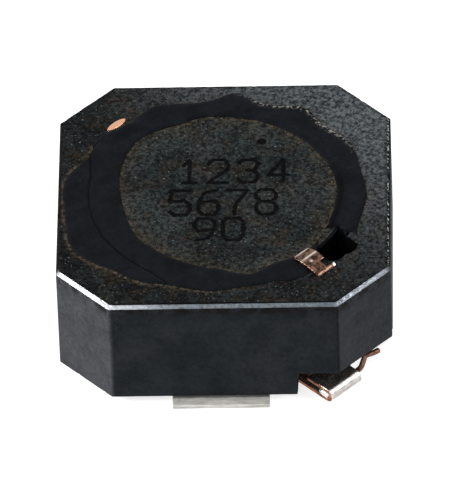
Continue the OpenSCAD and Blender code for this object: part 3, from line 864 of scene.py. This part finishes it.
def filmSurface():
    # a ring closed on itself: its top from the inner to the outer edge, then its underside. Its height is a
    # quarter circle over each shoulder and level between, with slow waves, less the groove, band and hollow
    a = adhesive
    theta = np.linspace(0, turn, a["columns"], endpoint=False)
    facing = np.degrees(theta)
    signed = (facing + 180) % 360 - 180
    outer = outerEdge(theta)
    inner = innerEdge(theta)
    t = np.linspace(0, 1, a["topRows"])[:, None]
    r = inner + (outer - inner) * t
    x, y = r * np.cos(theta), r * np.sin(theta)
    fromOuter = outer - r
    fromEdge = np.minimum(r - inner, fromOuter)
    shoulder = np.sqrt(np.clip(1 - (1 - np.clip(fromEdge / a["shoulder"], 0, 1)) ** 2, 0, 1))
    waves = a["wave"] * cloud(np.stack([x, y, 0 * r], axis=-1), a["waveSize"], 23)
    z = topZ + a["height"] * (a["edgeShare"] + a["topShare"] * shoulder) + waves * shoulder
    lineR = rippled(theta, swollen(theta, a["line"], a["lineSwellings"]), 1.0, 24)
    fade = a["lineFade"]
    here = smooth(a["lineFrom"] - fade, a["lineFrom"] + fade, facing)
    here = here * (1 - smooth(a["lineTo"] - fade, a["lineTo"] + fade, facing))
    line = np.exp(-((r - lineR) / a["lineWidth"]) ** 2) * here
    z = z - a["lineDepth"] * line
    across = ((x + y) / np.sqrt(2) - a["moundAt"][1]) / a["moundSize"][1]
    along = ((x - y) / np.sqrt(2) - a["moundAt"][0]) / a["moundSize"][0]
    z = z + a["moundHeight"] * np.exp(-along ** 2 - across ** 4) * shoulder
    pit = pitAt(x, y)
    overGap = smooth(flangeR - 0.01, flangeR + 0.06, r)
    z = z - a["pitDip"] * pit - a["pitDepth"] * pit * overGap
    shadowBand = np.exp(-((r - inner - a["bandOut"]) / a["bandWidth"]) ** 2) * smooth(*a["bandFrom"], signed)
    shadowBand = shadowBand * (1 - smooth(*a["bandTo"], signed)) * shoulder
    z = z - a["bandDepth"] * shadowBand
    top = np.stack([x, y, z], axis=-1)
    back = np.array([1.0, 0.8, 0.5, 0.2, 0.0])[:, None]
    r = inner + (outer - inner) * back
    below = topZ - 0.002 - (a["pitDepth"] + a["pitFloor"]) * pit.max(axis=0) + 0 * r
    under = np.stack([r * np.cos(theta), r * np.sin(theta), below], axis=-1)
    specks = np.exp(-((fromOuter - a["speckIn"]) / a["speckWidth"]) ** 2)
    specks = specks * smooth(*a["speckFrom"], facing) * (1 - smooth(*a["speckTo"], facing))
    # black along the groove, and painted shade in the hollow and the band
    dark = np.maximum(np.maximum(line, smooth(0.1, 0.6, pit)), 0.9 * shadowBand)
    marks = {"line": np.concatenate([dark, 0 * r]), "specksAndGlint": np.concatenate([specks, 0 * r])}
    return np.concatenate([top, under]), marks


def pocketSurface(hollow):
    # dusty adhesive that fills a corner pocket flush with the ring: a level top grid in the corner frame,
    # whose outer end follows the pocket's rounded corners and laps over its rim, on a base that dips under
    # the hollow
    a = adhesive
    lap = a["lap"]
    half = ring["pocketWidth"] / 2 + lap
    rounding = ring["pocketRound"]
    s = np.linspace(-half, half, int(ring["pocketWidth"] / a["pocketStep"]))
    past = np.maximum(np.abs(s) - half + rounding, 0)
    end = ring["pocketEnd"] + lap - rounding + np.sqrt(np.maximum(rounding ** 2 - past ** 2, 0))
    t = np.linspace(0, 1, 48)[:, None]
    r = gapR + (end - gapR) * t
    s = s + 0 * r
    points = fromCorner(r, s, 0 * r)
    pit = pitAt(points[..., 0], points[..., 1]) if hollow else 0 * r
    top = fromCorner(r, s, topZ + a["pocketRise"] - a["pitDepth"] * pit)
    below = topZ - 0.001 - (a["pitDepth"] + a["pitFloor"]) * pit.max(axis=0)
    base = fromCorner(r[[-1, 0]], s[[-1, 0]], below)
    out, over, halfOut, halfOver = a["creviceShade"]
    creviceShade = np.exp(-((r - out) / halfOut) ** 2 - ((s - over) / halfOver) ** 2) if hollow else 0 * r
    # painted shade in the hollow and the crevice
    dark = np.maximum(smooth(0.05, 0.4, pit), creviceShade)
    none = 0 * r[:2]
    marks = {"dusty": np.concatenate([1 - dark, 1 + none]), "line": np.concatenate([dark, none])}
    return np.concatenate([top, base]), marks


def makeAdhesive():
    film, filmMarks = filmSurface()
    front, frontMarks = pocketSurface(True)
    back, backMarks = pocketSurface(False)
    sheets = [gridSheet(film, True, True, **filmMarks), closedSheet(front, frontMarks),
              closedSheet(halfTurn(back), backMarks)]
    return makePiece("topAdhesive", sheets, adhesiveMaterial())


winding = {
    "wire": 0.18, "outer": 3.45, "inner": 2.21, "play": 0.04, "columns": 240, "perTurn": 8,
    # the leads: sides and steps of the tube, height at which they leave the coil, height of the strip that
    # they lie on, the fold's middle along the diagonal, and where the run starts and ends across it
    "leadSides": 14, "leadSteps": 8, "leadRise": 1.5, "seat": 0.16, "foldR": 5.844, "runS": -1.13,
    "clampEnd": -0.17,
    # the coil: thinning at its two ends, and how far in its end faces start
    "endTaper": 0.03, "endWidth": 0.08, "faceStep": 0.3,
}


def leadRoute():
    # the lead leaves the coil, drops down the gap, runs through the clamp and stands up as a short tail
    w = winding
    z0 = baseZ + w["leadRise"]
    seatZ = w["seat"] + w["wire"] / 2
    gapAngle = np.degrees(np.arcsin(w["runS"] / gapR))
    foldR, runS = w["foldR"], w["runS"]
    seatR = foldR - 0.1
    near = w["clampEnd"]

    def ringPoint(radius, angle, z):
        return [radius * np.cos(np.radians(angle)), radius * np.sin(np.radians(angle)), z]

    return np.array([
        ringPoint(w["outer"] - w["wire"] / 2, gapAngle - 34, z0 + 0.1),
        ringPoint(w["outer"], gapAngle - 24, z0 + 0.06),
        ringPoint((w["outer"] + gapR) / 2, gapAngle - 12, z0),
        ringPoint(gapR - 0.02, gapAngle - 2, z0 - 0.22),
        ringPoint(gapR, gapAngle, z0 - 0.6),
        ringPoint(gapR, gapAngle, baseZ + 0.35),
        [gapR + 0.1, runS, seatZ + 0.14], [gapR + 0.4, runS, seatZ], [seatR - 0.4, runS, seatZ],
        [seatR - 0.08, runS + 0.1, seatZ], [seatR, runS + 0.38, seatZ], [seatR, near, seatZ],
        [foldR - 0.02, near + 0.22, seatZ + 0.14], [foldR, near + 0.34, seatZ + 0.38],
        [foldR + 0.04, near + 0.4, seatZ + 0.56], [foldR + 0.18, near + 0.58, seatZ + 0.64],
        [foldR + 0.2, near + 0.78, seatZ + 0.62]])


def splineThrough(points, steps):
    # Catmull-Rom curve through the points: between b and c it is half of
    # 2b + (c - a) t + (2a - 5b + 4c - d) t^2 + (3b - a - 3c + d) t^3
    a = points[np.maximum(np.arange(len(points) - 1) - 1, 0)][:, None]
    b = points[:-1][:, None]
    c = points[1:][:, None]
    d = points[np.minimum(np.arange(len(points) - 1) + 2, len(points) - 1)][:, None]
    t = np.linspace(0, 1, steps, endpoint=False)[None, :, None]
    curve = 2 * b + (c - a) * t + (2 * a - 5 * b + 4 * c - d) * t ** 2 + (3 * b - a - 3 * c + d) * t ** 3
    return np.concatenate([curve.reshape(-1, 3) / 2, points[-1:]])


def tubeAlong(route, radius, sides):
    # a round section carried along a route without twist, with domed ends that close to a point
    tangent = np.gradient(route, axis=0)
    tangent /= np.linalg.norm(tangent, axis=1, keepdims=True)
    side = np.zeros_like(route)
    side[0] = np.cross(tangent[0], [0, 0, 1.0])
    side[0] /= np.linalg.norm(side[0])
    for i in range(1, len(route)):
        side[i] = side[i - 1] - tangent[i] * (side[i - 1] @ tangent[i])
        side[i] /= np.linalg.norm(side[i])
    other = np.cross(tangent, side)
    angle = np.linspace(0, turn, sides, endpoint=False)
    around = side[:, None] * np.cos(angle)[:, None] + other[:, None] * np.sin(angle)[:, None]
    body = route[:, None] + radius * around
    dome = np.radians([90, 65, 40, 20])[:, None, None]
    reach = radius * 0.6 * np.sin(dome)
    start = route[0] - tangent[0] * reach + radius * np.cos(dome) * around[0]
    end = route[-1] + tangent[-1] * reach + radius * np.cos(dome) * around[-1]
    return np.concatenate([start, body, end[::-1]])


def coilSurface():
    # the wound pack: a ring whose outside has one ridge per turn, climbing one turn per round. Its radius
    # is the outer one less half a wire times one minus a half circle over each turn, thinner at both ends
    w = winding
    low = baseZ + drum["flangeThickness"] + w["play"]
    high = topZ - drum["flangeThickness"] - w["play"]
    turns = int((high - low) / w["wire"])
    pitch = (high - low) / turns
    theta = np.linspace(0, turn, w["columns"], endpoint=False)
    z = np.linspace(low, high, turns * w["perTurn"] + 1)[:, None]
    phase = (z - low) / pitch - theta / turn
    ridge = np.sqrt(np.clip(1 - (2 * (phase % 1) - 1) ** 2, 0, 1))
    thin = w["endTaper"] * smooth(0, w["endWidth"], w["endWidth"] - np.minimum(z - low, high - z))
    r = w["outer"] - w["wire"] * 0.5 * (1 - ridge) - thin
    outside = np.stack([r * np.cos(theta), r * np.sin(theta), z + 0 * theta], axis=-1)
    face = w["outer"] - w["faceStep"]
    edge = np.array([face, w["inner"], w["inner"], face])[:, None]
    level = np.array([high, high, low, low])[:, None]
    inside = np.stack([edge * np.cos(theta), edge * np.sin(theta), level + 0 * theta], axis=-1)
    return np.concatenate([outside, inside])


def makeWinding():
    route = splineThrough(leadRoute(), winding["leadSteps"])
    lead = tubeAlong(fromCorner(*route.T), winding["wire"] / 2, winding["leadSides"])
    sheets = [gridSheet(lead, False, True), gridSheet(halfTurn(lead), False, True)]
    return makePiece("wireWinding", [gridSheet(coilSurface(), True, True), *sheets], wireMaterial())


terminal = {
    "voxel": 0.021, "soften": 6, "dent": 0.006, "dentSize": 0.35,
    # the back leg leans this far across the diagonal at its top, from this height on
    "lean": 0.4, "leanFrom": 0.6,
    # where the corner's leg and clamp begin, along the diagonal and across it; how far sideways a face must
    # look to be a cut edge; the heights between which the strip turns brown, and how brown
    "cornerFrom": (3.3, 3.6), "cornerAcross": (-1.8, -1.65), "cutEdge": (0.55, 0.85),
    "hotFrom": (0.5, 0.9), "hotShare": 0.8,
    # painted highlights on the finger: (along the diagonal, across it, half length of each way); the
    # dimple, painted dark as shade
    "glints": [(4.08, -0.3, 0.035, 0.36), (3.76, -0.36, 0.03, 0.3), (4.28, -0.43, 0.045, 0.045),
               (4.72, 0.06, 0.14, 0.04)],
    "shadedDimple": (4.62, -0.46, 0.06), "dimpleDepth": 0.05,
    # the back leg's finger is sunk in the adhesive, and only a low rounded tip of it shows:
    # (along the diagonal, across it, half length of each way, height)
    "sunk": 0.03, "tip": (4.75, 0.04, 0.12, 0.37, 0.03), "tipRows": 24, "tipColumns": 48,
}


def fusedCopy(node, name):
    # the strip's own solid remeshed to an even fine skin, so that its cut edges come out slightly rounded
    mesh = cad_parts[node].data.copy()
    mesh.materials.clear()
    mesh.transform(Matrix.Scale(1 / mm, 4))
    piece = bpy.data.objects.new(name, mesh)
    bpy.context.scene.collection.objects.link(piece)
    work = bmesh.new()
    work.from_mesh(mesh)
    bmesh.ops.remove_doubles(work, verts=work.verts, dist=1e-4)
    work.to_mesh(mesh)
    work.free()
    bpy.context.view_layer.objects.active = piece
    piece.select_set(True)
    remesh = piece.modifiers.new("even", "REMESH")
    remesh.mode = "VOXEL"
    remesh.voxel_size = terminal["voxel"]
    bpy.ops.object.modifier_apply(modifier="even")
    relax = piece.modifiers.new("relax", "SMOOTH")
    relax.iterations = terminal["soften"]
    relax.factor = 0.5
    bpy.ops.object.modifier_apply(modifier="relax")
    piece.select_set(False)
    return piece


def dressStrip(piece, flip):
    # marks the strip's finishes and dents it by noise along its normals; flip is -1 for the back one, which
    # is the front one turned half a turn, leaning, with its finger cut level under the adhesive
    mesh = piece.data
    count = len(mesh.vertices)
    co = np.zeros(count * 3)
    normal = np.zeros(count * 3)
    mesh.vertices.foreach_get("co", co)
    mesh.vertex_normals.foreach_get("vector", normal)
    co, normal = co.reshape(-1, 3), normal.reshape(-1, 3)
    if flip < 0:
        sway = terminal["lean"] * smooth(terminal["leanFrom"], topZ - 0.4, co[:, 2]) / np.sqrt(2)
        co[:, :2] -= sway[:, None]
    local = co * np.array([flip, flip, 1])
    localNormal = normal * np.array([flip, flip, 1])
    r = (local[:, 0] - local[:, 1]) / np.sqrt(2)
    s = (local[:, 0] + local[:, 1]) / np.sqrt(2)
    acrossNormal = np.abs(localNormal[:, 0] + localNormal[:, 1]) / np.sqrt(2)
    atCorner = smooth(*terminal["cornerFrom"], r) * smooth(*terminal["cornerAcross"], s)
    raw = atCorner * smooth(*terminal["cutEdge"], acrossNormal)
    high = smooth(topZ - 0.12, topZ - 0.02, local[:, 2])
    glint = np.zeros(count)
    for out, over, halfOut, halfOver in terminal["glints"]:
        glint = np.maximum(glint, np.exp(-((r - out) / halfOut) ** 2 - ((s - over) / halfOver) ** 4))
    # the dimple: a small dent whose dark colour is painted shade
    out, over, size = terminal["shadedDimple"]
    shadedDimple = np.exp(-((r - out) ** 2 + (s - over) ** 2) / size ** 2) * high
    if flip < 0:
        co[:, 2] = np.minimum(co[:, 2], topZ - terminal["sunk"])
    marks = {
        "pad": 1 - atCorner,
        "raw": raw * (1 - high),
        "hot": np.maximum(smooth(*terminal["hotFrom"], local[:, 2]) * terminal["hotShare"], high),
        "glint": glint * high,
        "shadedDimple": shadedDimple,
    }
    co[:, 2] -= terminal["dimpleDepth"] * shadedDimple
    co = co + normal * (terminal["dent"] * cloud(co, terminal["dentSize"], 31))[:, None]
    mesh.vertices.foreach_set("co", (co * mm).ravel())
    for key, values in marks.items():
        mesh.attributes.new(key, "FLOAT", "POINT").data.foreach_set("value", values.astype(np.float32))
    mesh.polygons.foreach_set("use_smooth", np.ones(len(mesh.polygons), bool))
    mesh.update()
    print(piece.name, len(mesh.polygons), "faces")


def tipSurface():
    # a low ellipsoid, from pole to pole, that stands for the tip of the back leg
    out, over, halfOut, halfOver, height = terminal["tip"]
    down = np.linspace(0, np.pi, terminal["tipRows"])[:, None]
    about = np.linspace(0, turn, terminal["tipColumns"], endpoint=False)
    r = out + halfOut * np.sin(down) * np.cos(about)
    s = over + halfOver * np.sin(down) * np.sin(about)
    return halfTurn(fromCorner(r, s, topZ + height * np.cos(down)))


def makeTerminals():
    material = stripMaterial()
    for node, name, flip in (("front_terminal", "frontTerminal", 1), ("back_terminal", "backTerminal", -1)):
        piece = fusedCopy(node, name)
        dressStrip(piece, flip)
        piece.data.materials.append(material)
        if flip < 0:
            tip = makePiece("legTip", [gridSheet(tipSurface(), False, True, lens=1.0)], material)
            bpy.ops.object.select_all(action="DESELECT")
            tip.select_set(True)
            piece.select_set(True)
            bpy.context.view_layer.objects.active = piece
            bpy.ops.object.join()
        stand(piece, "tinned_strip", node)


solder = {
    # reach back and forward from the fold's middle, lowest and highest level, ends across the diagonal
    "back": 0.36, "front": 0.09, "low": 0.15, "high": 0.35, "from": -1.47, "to": -0.17, "bulge": 0.04,
    "rows": 90, "sides": 40, "square": 0.7,
}


def solderSurface():
    # a bar with a rounded square section, |x|^(2/0.7) + |z|^(2/0.7) = 1, that fills the clamp's fold and is
    # domed at both ends by the square root of 1 - u^16, with u running from -1 to 1 along it
    b = solder
    s = np.linspace(b["from"] - b["bulge"], b["to"] + b["bulge"], b["rows"])
    middle = (b["from"] + b["to"]) / 2
    half = (b["to"] - b["from"]) / 2 + b["bulge"]
    end = np.clip(1 - np.abs((s - middle) / half) ** 16, 0, 1) ** 0.5
    angle = np.linspace(0, turn, b["sides"], endpoint=False)
    x = np.sign(np.cos(angle)) * np.abs(np.cos(angle)) ** b["square"]
    z = np.sign(np.sin(angle)) * np.abs(np.sin(angle)) ** b["square"]
    halfR = (b["back"] + b["front"]) / 2
    midR = winding["foldR"] + (b["front"] - b["back"]) / 2
    halfZ = (b["high"] - b["low"]) / 2
    r = midR + halfR * end[:, None] * x
    height = (b["high"] + b["low"]) / 2 + halfZ * end[:, None] * z
    return fromCorner(r, s[:, None] + 0 * r, height)


def makeSolder():
    bar = solderSurface()
    material = solderMaterial()
    front = makePiece("frontSolder", [gridSheet(bar, False, True)], material)
    back = makePiece("backSolder", [gridSheet(halfTurn(bar), False, True)], material)
    stand(front, "solder", "front_solder")
    stand(back, "solder", "back_solder")


print("making the cores")
stand(makeRing(), "ring_ferrite", "ring_core")
stand(makeDrum(), "drum_ferrite", "drum_core")
print("making the winding, terminals and solder")
stand(makeWinding(), "magnet_wire", "winding")
makeTerminals()
makeSolder()
print("making the adhesive")
stand(makeAdhesive(), "epoxy", "top_adhesive")
glue = glueMaterial()
for node in ("front_pad_glue", "back_pad_glue"):
    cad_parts[node].data.materials.clear()
    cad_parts[node].data.materials.append(glue)


studio = {
    "floor": 4.0, "floorColour": 0.8, "floorGlow": 0.7, "worldLevel": 0.35,
    # each lamp: azimuth from the front, counted to the right; height; distance; width; strength
    "lamps": [("keyLeft", -84, 30, 0.5, 0.16, 8.6), ("fillRight", 82, 33, 0.5, 0.2, 3.2),
              ("frontTop", 0, 46, 0.6, 0.3, 1.6)],
}


def seenDirectly(tree, otherwise, seen):
    # one level for camera, glossy and transmission rays, and another for rays that only light the object
    path = tree.nodes.new("ShaderNodeLightPath")
    rays = path.outputs["Is Camera Ray"]
    for kind in ("Is Glossy Ray", "Is Transmission Ray"):
        either = tree.nodes.new("ShaderNodeMath")
        either.operation = "MAXIMUM"
        tree.links.new(rays, either.inputs[0])
        tree.links.new(path.outputs[kind], either.inputs[1])
        rays = either.outputs[0]
    level = tree.nodes.new("ShaderNodeMapRange")
    level.inputs["To Min"].default_value = otherwise
    level.inputs["To Max"].default_value = seen
    tree.links.new(rays, level.inputs["Value"])
    return level.outputs["Result"]


def makeStudio():
    # a pale floor in a white world, with three soft square lamps
    mesh = bpy.data.meshes.new("floor")
    half = studio["floor"] / 2
    corners = [(-half, -half, 0), (half, -half, 0), (half, half, 0), (-half, half, 0)]
    mesh.from_pydata(corners, [], [(0, 1, 2, 3)])
    floor = bpy.data.objects.new("floor", mesh)
    bpy.context.scene.collection.objects.link(floor)
    material = bpy.data.materials.new("paleFloor")
    material.use_nodes = True
    tree = material.node_tree
    tree.nodes.clear()
    out = tree.nodes.new("ShaderNodeOutputMaterial")
    cloth = tree.nodes.new("ShaderNodeBsdfDiffuse")
    cloth.inputs["Color"].default_value = (studio["floorColour"],) * 3 + (1,)
    glow = tree.nodes.new("ShaderNodeEmission")
    tree.links.new(seenDirectly(tree, 0.0, studio["floorGlow"]), glow.inputs["Strength"])
    added = tree.nodes.new("ShaderNodeAddShader")
    tree.links.new(cloth.outputs[0], added.inputs[0])
    tree.links.new(glow.outputs[0], added.inputs[1])
    tree.links.new(added.outputs[0], out.inputs["Surface"])
    mesh.materials.append(material)
    world = bpy.data.worlds.new("studio")
    bpy.context.scene.world = world
    world.use_nodes = True
    tree = world.node_tree
    sky = tree.nodes["Background"]
    sky.inputs["Color"].default_value = (1, 1, 1, 1)
    tree.links.new(seenDirectly(tree, studio["worldLevel"], 1.0), sky.inputs["Strength"])
    for name, azimuth, height, distance, width, strength in studio["lamps"]:
        lamp = bpy.data.lights.new(name, "AREA")
        lamp.shape = "SQUARE"
        lamp.size = width
        lamp.energy = strength * distance ** 2
        holder = bpy.data.objects.new(name, lamp)
        bpy.context.scene.collection.objects.link(holder)
        a, e = np.radians(azimuth), np.radians(height)
        away = Vector((np.sin(a) * np.cos(e), -np.cos(a) * np.cos(e), np.sin(e)))
        holder.location = away * distance
        holder.rotation_euler = away.to_track_quat("Z", "Y").to_euler()


# degrees and millimetres
camera = {
    "azimuth": 1.9572, "elevation": 41.951, "roll": -2.12, "distance": 386.29, "lens": 893.1,
    "sideways": 0.0, "upwards": -1.0575, "aimZ": 0.25,
}


def makeCamera():
    # looks at the middle of the footprint from the given angles, then slides in its own plane
    data = bpy.data.cameras.new("camera")
    data.sensor_width = 36
    data.lens = camera["lens"]
    data.clip_start = 0.01
    data.clip_end = 10
    holder = bpy.data.objects.new("camera", data)
    bpy.context.scene.collection.objects.link(holder)
    a, e, roll = (np.radians(camera[k]) for k in ("azimuth", "elevation", "roll"))
    back = np.array([np.sin(a) * np.cos(e), -np.cos(a) * np.cos(e), np.sin(e)])
    right = np.array([np.cos(a), np.sin(a), 0])
    up = np.cross(back, right)
    across = np.cos(roll) * right + np.sin(roll) * up
    upright = -np.sin(roll) * right + np.cos(roll) * up
    place = -across * camera["sideways"] - upright * camera["upwards"] + back * camera["distance"]
    place = (place + np.array([0, 0, camera["aimZ"]])) * mm
    turned = Matrix((tuple(across), tuple(upright), tuple(back))).transposed().to_4x4()
    holder.matrix_world = Matrix.Translation(Vector(place)) @ turned
    bpy.context.scene.camera = holder


print("setting the stage")
makeStudio()
makeCamera()
bpy.context.scene.view_settings.view_transform = "Standard"
